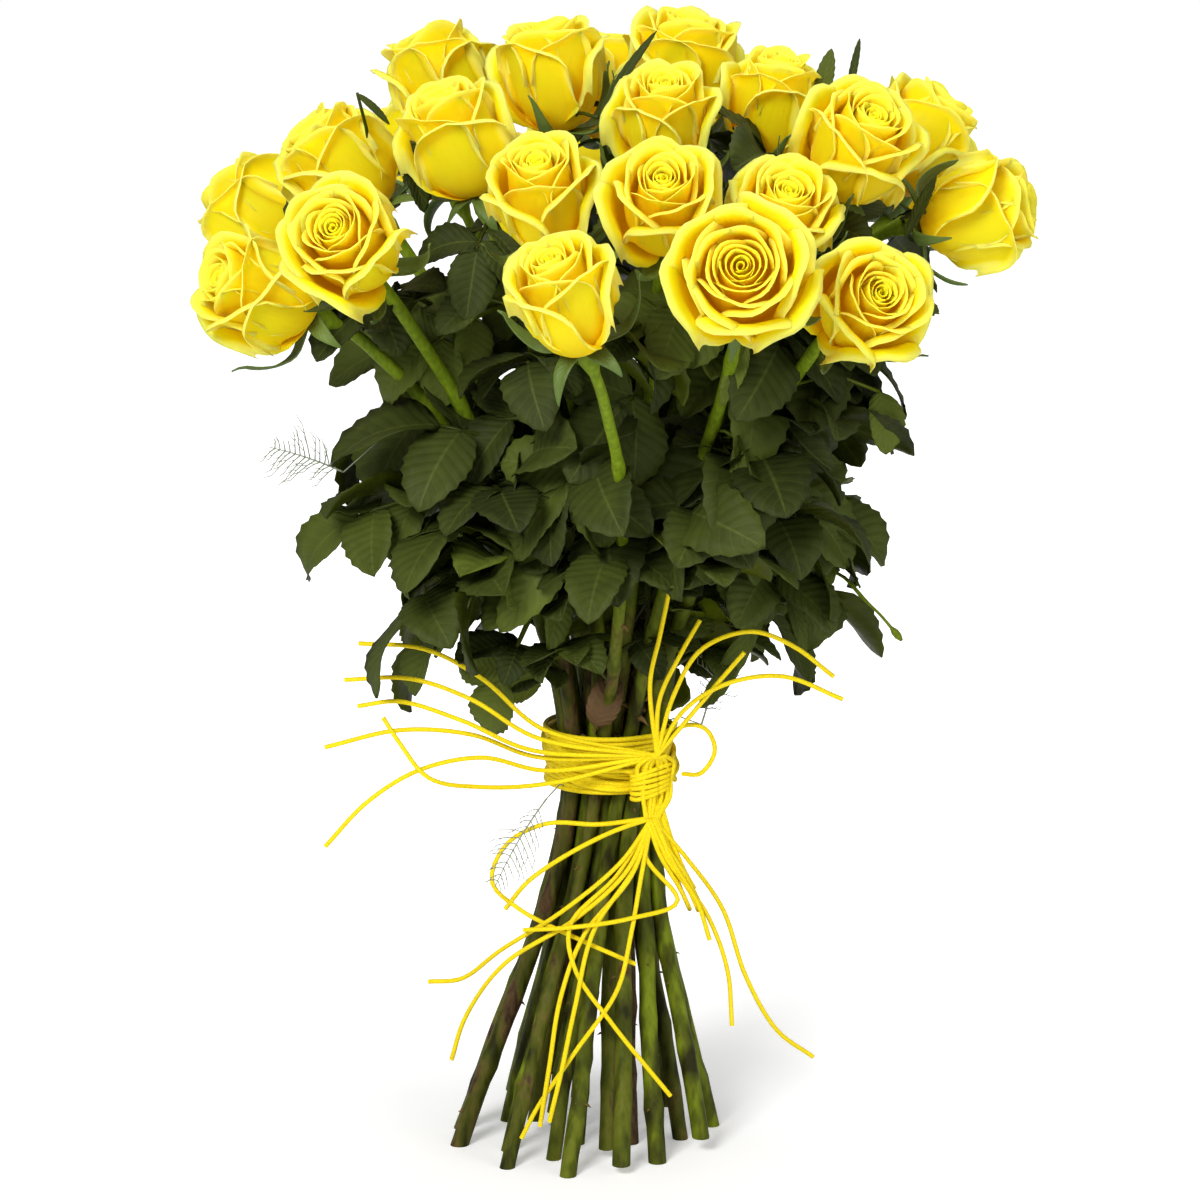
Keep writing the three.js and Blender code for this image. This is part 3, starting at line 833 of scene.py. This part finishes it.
# Petal: tint red grows to 1 at the rim, green is 0 at the heart and 1 outside, blue varies by petal.
petal_skin, tree, shader = new_material("petal", 0.5, Specular_IOR_Level=0.08)
rim, order_mask, own = tint_of(tree)
where = add(tree, "ShaderNodeTexCoord").outputs["UV"]
_, up_petal, _ = add(tree, "ShaderNodeSeparateXYZ", {0: where}).outputs
broad_tone, _ = mottled(tree, 60.0, 500.0)
# Petal colour: yellow at the tops and rims, deepening to dark orange towards each petal's base and, on the
# inner petals, away from the rim. This is partly the rose's own warmer heart and partly painted shade in the
# folds and crevices.
outer_tone_and_shade_stops = [(0.0, (0.62, 0.32, 0.006)), (0.3, (0.92, 0.5, 0.003))]
outer_tone_and_shade_stops += [(0.62, (0.97, 0.69, 0.004)), (0.95, (0.97, 0.78, 0.006))]
inner_tone_and_shade_stops = [(0.0, (0.8, 0.3, 0.002)), (0.3, (0.94, 0.48, 0.002))]
inner_tone_and_shade_stops += [(0.6, (0.98, 0.68, 0.004)), (0.9, (0.98, 0.79, 0.008))]
outer_tone_and_shade = ramp(tree, up_petal, outer_tone_and_shade_stops)
inner_tone_and_shade = ramp(tree, rim, inner_tone_and_shade_stops)
body = mix(tree, remap(tree, order_mask, 0.45, 0.95), inner_tone_and_shade, outer_tone_and_shade)
body = mix(tree, calc(tree, "MULTIPLY", own, 0.3), body, (0.97, 0.81, 0.02))
# Outer petals turn pale towards their rims: partly the petals' own paler edges, partly a painted highlight
# where the rolled rims catch the light.
pale_rim_and_highlight = calc(tree, "MULTIPLY", remap(tree, rim, 0.6, 1.0), order_mask)
body = mix(tree, calc(tree, "MULTIPLY", pale_rim_and_highlight, 0.65), body, (0.98, 0.91, 0.24))
flecks = calc(tree, "MULTIPLY", remap(tree, broad_tone, 0.3, 0.75), 0.18)
body = mix(tree, flecks, body, (0.96, 0.62, 0.004))
tree.links.new(body, shader.inputs["Base Color"])
ribs = noise(tree, scaled(tree, where, (46.0, 2.2, 1.0)), 1.0, 3.0)
roughen(tree, shader, ribs, 0.3, 0.0006)
shader.inputs["Subsurface Weight"].default_value = 0.5
shader.inputs["Subsurface Radius"].default_value = (1.0, 0.4, 0.05)
shader.inputs["Subsurface Scale"].default_value = 0.006
# Painted glow: an orange emission, strongest in the inner petals and away from their rims, stands in for the
# light that comes through the thin petals and warms the folds.
glow_by_order = calc(tree, "MULTIPLY_ADD", order_mask, -0.5, 1.0)
depth = calc(tree, "MULTIPLY", remap(tree, rim, 0.85, 0.1), glow_by_order)
painted_glow = mix(tree, depth, (0.0, 0.0, 0.0), (0.09, 0.048, 0.0))
tree.links.new(painted_glow, shader.inputs["Emission Color"])
shader.inputs["Emission Strength"].default_value = 1.0

# How far each bloom has opened, from a bud at 0 to a full rose at 1, in the order of the roses.
OPENNESS = (
    (1.0, 0.3, 0.85, 0.85, 0.5, 0.15, 0.55, 0.7, 0.8, 0.75, 0.5, 0.2)
    + (0.6, 0.45, 0.6, 0.4, 0.4, 0.4, 0.45, 0.7, 0.5, 0.8, 0.3, 0.6)
)


def bloom_axes(axis, spin):
    """Two directions across a bloom, turned by spin, and its axis."""
    side = unit(np.cross(axis, (0.2, 0.9, 0.35)))
    first = side * math.cos(spin) + np.cross(axis, side) * math.sin(spin)
    return np.stack([first, np.cross(axis, first), axis])


def spun(corners, turn):
    c, s = math.cos(turn), math.sin(turn)
    return corners @ np.array([[c, s, 0], [-s, c, 0], [0, 0, 1]])


for number, (foot, axis, radius, height) in enumerate(seats, start=1):
    rng = random.Random(700 + number)
    openness = OPENNESS[number - 1]
    count = PETAL_COUNT + round(OPEN_PETALS * openness)
    frame_axes = bloom_axes(axis, rng.uniform(*ANY_TURN))
    petals = []
    for k in range(count):
        order = k / (count - 1)
        corners, rim_mask = petal(radius, height, order, openness, rng)
        corners = spun(corners, k * GOLDEN_TURN + rng.uniform(-0.12, 0.12))
        petals.append((corners, tints(rim_mask, order, rng.random())))
    reach = max(np.hypot(corners[:, 0], corners[:, 1]).max() for corners, _ in petals)
    tall = max(corners[:, 2].max() for corners, _ in petals)
    wide = PETAL_REACH * radius / reach
    fit = np.array([wide, wide, PETAL_RISE * height / tall])
    parts = [sheet_part(foot + (corners * fit) @ frame_axes, petal_sheet, tint) for corners, tint in petals]
    bloom = make_piece(f"rose_{number:02d}_petals", parts, [petal_skin])
    thicken(bloom, PETAL_THICKNESS)
    place(bloom, "petal", f"bloom_{number:02d}")

# ---- sepals: five narrow green leaves that cupped the bud ----
# They grow from the hip. Some still lie along the petals and some have folded back, and their long
# thin tips curl.
SEPAL_COUNT = 5
SEPAL_COLUMNS = 4
SEPAL_ROWS = 14
SEPAL_WIDTH = 0.0034
SEPAL_THICKNESS = 0.0005
HUGGING_SHARE = 0.72
sepal_sheet = grid_sheet(SEPAL_COLUMNS, SEPAL_ROWS)
sepal_skin = leaf_material(
    "sepal", (0.04, 0.075, 0.015), (0.17, 0.25, 0.04), (0.16, 0.22, 0.06), 0.5, 0.3, 0.2
)

for number, (foot, axis, radius, height) in enumerate(seats, start=1):
    rng = random.Random(900 + number)
    frame_axes = bloom_axes(axis, rng.uniform(*ANY_TURN))
    parts = []
    for k in range(SEPAL_COUNT):
        hugging = rng.random() < HUGGING_SHARE
        length = rng.uniform(0.036, 0.046) if hugging else rng.uniform(0.018, 0.03)
        t = np.linspace(0, 1, 30)
        if hugging:
            lip = rng.uniform(0.6, 0.85)
            flat = 0.72 * radius / length
            steep = min(flat + 0.35 * height / length, 0.95)
            lean = np.interp(
                t,
                [0, flat * 0.6, flat, steep, max(lip, steep + 0.02), 1.02],
                [97, 92, 48, 12, 6, rng.uniform(10, 95)],
            )
        else:
            lean = np.interp(t, [0, 0.25, 0.6, 1], [85, 98, rng.uniform(105, 150), rng.uniform(90, 230)])
        lean = np.radians(lean)
        step = length / (len(t) - 1)
        out = 0.0032 + np.concatenate([[0], np.cumsum(np.sin(lean[:-1]) * step)])
        up = -0.0012 + np.concatenate([[0], np.cumsum(np.cos(lean[:-1]) * step)])
        across, along, _ = sepal_sheet
        width = SEPAL_WIDTH * (1 - along) ** 0.8 * (1 + 0.5 * np.sin(np.pi * along)) + 0.0003
        x = across * width
        ring, level = np.interp(along, t, out), np.interp(along, t, up)
        slope_out, slope_up = np.interp(along, t, np.sin(lean)), np.interp(along, t, np.cos(lean))
        twist = rng.uniform(-0.9, 0.9) * along**2
        lift = -0.25 * x * x / SEPAL_WIDTH + x * np.sin(twist)
        sideways = x * np.cos(twist) + 0.12 * length * rng.uniform(-1, 1) * along**3
        corners = np.stack([ring + lift * slope_up, sideways, level - lift * slope_out], axis=1)
        corners = spun(corners, (k + rng.uniform(-0.15, 0.15)) * 2 * math.pi / SEPAL_COUNT)
        parts.append(leafy_part(foot + corners @ frame_axes, sepal_sheet, rng.uniform(0.1, 0.6), rng))
    sepals = make_piece(f"rose_{number:02d}_sepals", parts, [sepal_skin])
    thicken(sepals, SEPAL_THICKNESS)
    place(sepals, "leaf")

# ---- twine: dyed paper cord, two millimetres thick ----
# Twelve turns side by side make the band. A few more cross it on their way to the knot at its front
# right, and the cut ends of the cord spray up and down from there.
TWINE_RADIUS = 0.001
TWINE_SIDES = 8
BAND_TURNS = 12
BAND_INSIDE = 0.024
BAND_FLARE = 0.003
BAND_HALF_HEIGHT = 0.012
CROSSING_STRANDS = 7

twine, tree, shader = new_material("twine", 0.55, Specular_IOR_Level=0.12)
broad_tone, fine_tone = mottled(tree, 160.0, 1400.0, 2.5)
dye_stops = [(0.25, (0.62, 0.4, 0.004)), (0.5, (0.87, 0.66, 0.005)), (0.75, (0.93, 0.8, 0.02))]
dye = ramp(tree, fine_tone, dye_stops)
worn = calc(tree, "MULTIPLY", remap(tree, broad_tone, 0.35, 0.7), 0.35)
dye = mix(tree, worn, dye, (0.93, 0.76, 0.012))
tree.links.new(dye, shader.inputs["Base Color"])
roughen(tree, shader, fine_tone, 0.5, 0.0005)


def band_radius(drop):
    """Where the bundle's outside is, at a height above or below the middle of the band."""
    return BAND_INSIDE + BAND_FLARE * np.minimum(np.abs(drop) / BAND_HALF_HEIGHT, 1.3)


def circling(ring, angle, level):
    """Points round the Z axis."""
    return np.stack([ring * np.cos(angle), ring * np.sin(angle), level], axis=1)


rng = random.Random(41)
turns = np.linspace(0, 1, BAND_TURNS * 40)
angle = turns * BAND_TURNS * 2 * math.pi
level = (turns - 0.5) * 0.0255 + 0.0003 * np.sin(angle * 0.37)
ring = band_radius(level) + 0.0012 + 0.0002 * np.sin(angle * 1.7)
parts = [rod(tie + circling(ring, angle, level), 0.00112, TWINE_SIDES)]
for k in range(CROSSING_STRANDS):
    angle = np.linspace(0, 2 * math.pi, 60)
    tilt = rng.uniform(0.003, 0.0095)
    middle = rng.uniform(-0.0045, 0.0035)
    low_side = math.radians(300 + rng.uniform(-25, 25))
    level = middle - tilt * np.cos(angle - low_side)
    ring = band_radius(level) + 0.0032 + 0.0004 * (k % 3)
    parts.append(rod(tie + circling(ring, angle, level), TWINE_RADIUS, TWINE_SIDES))
place(make_piece("twine_band_turns", parts, [twine]), "twine", "twine_band")


def cord_line(points, count):
    """A centripetal curve through points, as count points at even steps."""
    points = np.array(points, float)
    points = np.vstack([2 * points[0] - points[1], points, 2 * points[-1] - points[-2]])
    line = []
    for p0, p1, p2, p3 in zip(points, points[1:], points[2:], points[3:]):
        d0, d1, d2 = (math.sqrt(np.linalg.norm(b - a)) for a, b in ((p0, p1), (p1, p2), (p2, p3)))
        t1 = ((p1 - p0) / d0 - (p2 - p0) / (d0 + d1) + (p2 - p1) / d1) * d1
        t2 = ((p2 - p1) / d1 - (p3 - p1) / (d1 + d2) + (p3 - p2) / d2) * d1
        for t in np.linspace(0, 1, 24, endpoint=False):
            bow = (3 * (p2 - p1) - 2 * t1 - t2) * t * t
            line.append(p1 + t1 * t + bow + (2 * (p1 - p2) + t1 + t2) * t**3)
    line.append(points[-2])
    return resample(line, count)


# The knot: a hank of strands between the two roots of the loose ends, drawn in at its waist by the
# turns that bind it. Some strands run back from it over the band, and some hang from it in loops.
HANK_STRANDS = 12
BINDING_TURNS = 6
BACK_STRANDS = 6
HANGING_LOOPS = 5
ROUTE_POINTS = 30
END_POINTS = 40
ROOT_UP = (20, -38, 8)
ROOT_DOWN = (18, -40, -19)
knot = (box_middle("twine_knot") - tie) * 1000
outward = unit(knot * (1, 1, 0))
beside = np.cross((0, 0, 1), outward)


def at_knot(out, aside, up):
    return knot + outward * out + beside * aside + (0, 0, up)


rng = random.Random(43)
routes = []
for k in range(HANK_STRANDS):
    spread = (k - 5.5) * 1.35
    lean = rng.uniform(-1.5, 1.5)
    depth = 3.6 + 1.5 * (k % 2)
    waist = [at_knot(depth + 1, spread + lean, 8), at_knot(depth, spread, 1)]
    waist.append(at_knot(depth + 1, spread - lean, -7))
    routes.append([ROOT_UP + beside * spread * 0.45, *waist, ROOT_DOWN + beside * spread * 0.4])
for k in range(BINDING_TURNS):
    t = np.linspace(0, 2 * math.pi, 12)
    routes.append(
        knot
        + outward * (5.8 * np.cos(t) + 1.2)[:, None]
        + beside * (9.2 * np.sin(t))[:, None]
        + np.array([0, 0, 1]) * (5.5 - 2.1 * k + 2.2 * np.sin(t + 0.5) + 0.4 * np.cos(2 * t + k))[:, None]
    )
for k in range(BACK_STRANDS):
    azimuth = np.radians([300, 286, 268, 248, 226, 205])
    ring = np.array([36, 34.5, 32.5, 31.5, 30.5, 29]) + 0.5 * (k % 2)
    rise = np.interp(azimuth, azimuth[::-1], np.linspace(9 - 2.1 * k, -3 + 0.8 * k, 6))
    routes.append(circling(ring, azimuth, rise))
for k in range(HANGING_LOOPS):
    wide, long = rng.uniform(-2, 4), rng.uniform(0.8, 1.15)
    loop = [ROOT_DOWN, (23, -42, -19 - 14 * long), (31 + wide, -39, -19 - 30 * long)]
    loop += [(35 + wide, -36, -19 - 39 * long), (31 + wide, -37, -19 - 30 * long)]
    loop += [(25, -38, -19 - 12 * long), (20, -36, -14)]
    routes.append(np.array(loop) + beside * (k - 2) * 1.1)
strands = [tie + cord_line(route, ROUTE_POINTS) * MM for route in routes]
parts = [rod(strand, TWINE_RADIUS, TWINE_SIDES) for strand in strands]
place(make_piece("twine_knot_turns", parts, [twine]), "twine", "twine_knot")

# The loose ends, in millimetres from the middle of the band. Each group leaves the knot from one root.
ENDS_UP = (
    ((-29, -42, 21), (-55, -44, 44), (-79, -42, 56), (-107, -36, 57)),
    ((-31, -46, 18), (-59, -50, 36), (-85, -46, 44), (-113, -40, 42)),
    ((-33, -44, 12), (-63, -55, 28), (-89, -54, 36), (-107, -50, 33)),
    ((-31, -40, 8), (-59, -48, 20), (-89, -56, 24), (-121, -54, 16)),
    ((-27, -40, 2), (-55, -56, 12), (-81, -62, 8), (-103, -62, -6), (-121, -60, -26)),
    ((-25, -38, -4), (-55, -52, -2), (-77, -66, 6), (-89, -62, 20), (-96, -58, 30)),
    ((17, -46, 42), (21, -52, 64), (25, -56, 85)),
    ((21, -44, 34), (29, -50, 54), (38, -48, 70)),
    ((27, -44, 36), (39, -50, 58), (59, -52, 66), (77, -48, 59), (95, -42, 44)),
    ((31, -40, 28), (49, -44, 41), (73, -46, 45), (99, -42, 34)),
    ((33, -38, 24), (45, -42, 40), (57, -44, 55)),
    ((31, -34, 20), (41, -31, 18), (45, -30, 8), (39, -33, -1), (31, -38, 0)),
)
ENDS_DOWN = (
    ((-5, -43, -21), (-27, -38, -22), (-45, -30, -34), (-51, -30, -50))
    + ((-39, -42, -59), (-11, -54, -70), (11, -54, -80)),
    ((1, -44, -24), (-19, -46, -34), (-35, -44, -46), (-45, -38, -60)),
    ((5, -48, -36), (-19, -52, -56), (-47, -40, -78), (-65, -24, -96), (-79, -18, -99)),
    ((7, -50, -40), (-15, -54, -60), (-45, -46, -82), (-63, -30, -112), (-69, -26, -132)),
    ((13, -50, -44), (9, -56, -66), (3, -60, -90), (-15, -65, -116), (-31, -67, -140), (-38, -67, -154)),
    ((3, -49, -42), (-17, -56, -62), (-15, -61, -80), (1, -63, -104), (26, -64, -136)),
    ((9, -50, -42), (-11, -57, -66), (-21, -62, -92), (-26, -67, -122), (-30, -69, -148)),
    ((11, -48, -38), (-7, -58, -64), (-15, -65, -96), (-21, -70, -124), (-26, -72, -145)),
    ((33, -36, -38), (49, -26, -64), (59, -26, -94), (73, -22, -120), (89, -16, -134)),
    ((29, -40, -42), (43, -34, -66), (51, -32, -90), (53, -34, -114)),
    ((27, -42, -38), (38, -38, -58), (43, -38, -74)),
    ((15, -45, -34), (29, -47, -54), (9, -56, -59), (-15, -59, -62), (-37, -50, -66)),
)
for group, root, routes in (("up", ROOT_UP, ENDS_UP), ("down", ROOT_DOWN, ENDS_DOWN)):
    for k, route in enumerate(routes, start=1):
        line = tie + cord_line([root, *route], END_POINTS) * MM
        curve = bpy.data.curves.new(f"twine_end_{group}_{k:02d}", "CURVE")
        curve.dimensions = "3D"
        curve.bevel_depth = TWINE_RADIUS
        curve.bevel_resolution = 3
        curve.use_fill_caps = True
        spline = curve.splines.new("POLY")
        spline.points.add(len(line) - 1)
        spline.points.foreach_set("co", np.concatenate([line, np.ones((END_POINTS, 1))], axis=1).ravel())
        spline.use_smooth = True
        curve.materials.append(twine)
        end = new_object(curve.name, curve)
        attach(end, "root")
        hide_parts(f"twine_ends_{group}")

# ---- room: a plain pale floor and soft light ----
# To the eye the floor shines white away from the foot, so that it runs into the white behind it.
FLOOR_GLOW = (0.3, 0.85)
GLOW_REACH = (0.12, 0.6)
SKY_SEEN = 1.0
SKY_LIGHT = 0.3
LAMPS = (
    ("key", (-0.7, -1.6, 1.4), 0.7, 36.0),
    ("fill", (1.4, -1.3, 0.7), 1.2, 10.5),
    ("top", (0.1, 0.2, 1.9), 1.0, 14.0),
)
bpy.ops.mesh.primitive_plane_add(size=8)
floor = bpy.context.object
floor.name = "floor"
floor_paint, tree, shader = new_material("floor_paint", 0.75)
shader.inputs["Base Color"].default_value = (0.9, 0.9, 0.9, 1)
where = add(tree, "ShaderNodeTexCoord").outputs["Object"]
away = add(tree, "ShaderNodeVectorMath", {0: where}, operation="LENGTH").outputs["Value"]
seen = add(tree, "ShaderNodeLightPath").outputs["Is Camera Ray"]
glow = calc(tree, "MULTIPLY", remap(tree, away, *GLOW_REACH, *FLOOR_GLOW), seen)
glow = mix(tree, glow, (0.0, 0.0, 0.0), (1.0, 1.0, 1.0))
tree.links.new(glow, shader.inputs["Emission Color"])
shader.inputs["Emission Strength"].default_value = 1.0
floor.data.materials.append(floor_paint)

world = bpy.data.worlds.new("studio")
world.use_nodes = True
tree = world.node_tree
sky = tree.nodes["Background"]
sky.inputs["Color"].default_value = (1, 1, 1, 1)
seen = add(tree, "ShaderNodeLightPath").outputs["Is Camera Ray"]
tree.links.new(calc(tree, "MULTIPLY_ADD", seen, SKY_SEEN - SKY_LIGHT, SKY_LIGHT), sky.inputs["Strength"])
bpy.context.scene.world = world
middle = (Vector(cad_box[0]) + Vector(cad_box[1])) / 2
for name, location, size, power in LAMPS:
    lamp = bpy.data.lights.new(name, "AREA")
    lamp.size = size
    lamp.energy = power
    light = new_object(name, lamp)
    light.location = location
    light.rotation_euler = (middle - Vector(location)).to_track_quat("-Z", "Y").to_euler()
bpy.context.scene.view_settings.view_transform = "Standard"

# ---- camera: from in front of the knot, looking down a little ----
CAMERA_RISE = math.radians(13)
CAMERA_DISTANCE = 2.2
CAMERA_LENS = 153
SENSOR_WIDTH = 36
target = middle + Vector((-0.003, 0, -0.005))
camera_data = bpy.data.cameras.new("camera")
camera_data.lens = CAMERA_LENS
camera_data.sensor_width = SENSOR_WIDTH
camera = new_object("camera", camera_data)
back = Vector((0, -math.cos(CAMERA_RISE), math.sin(CAMERA_RISE)))
camera.location = target + back * CAMERA_DISTANCE
camera.rotation_euler = (-back).to_track_quat("-Z", "Y").to_euler()
bpy.context.scene.camera = camera
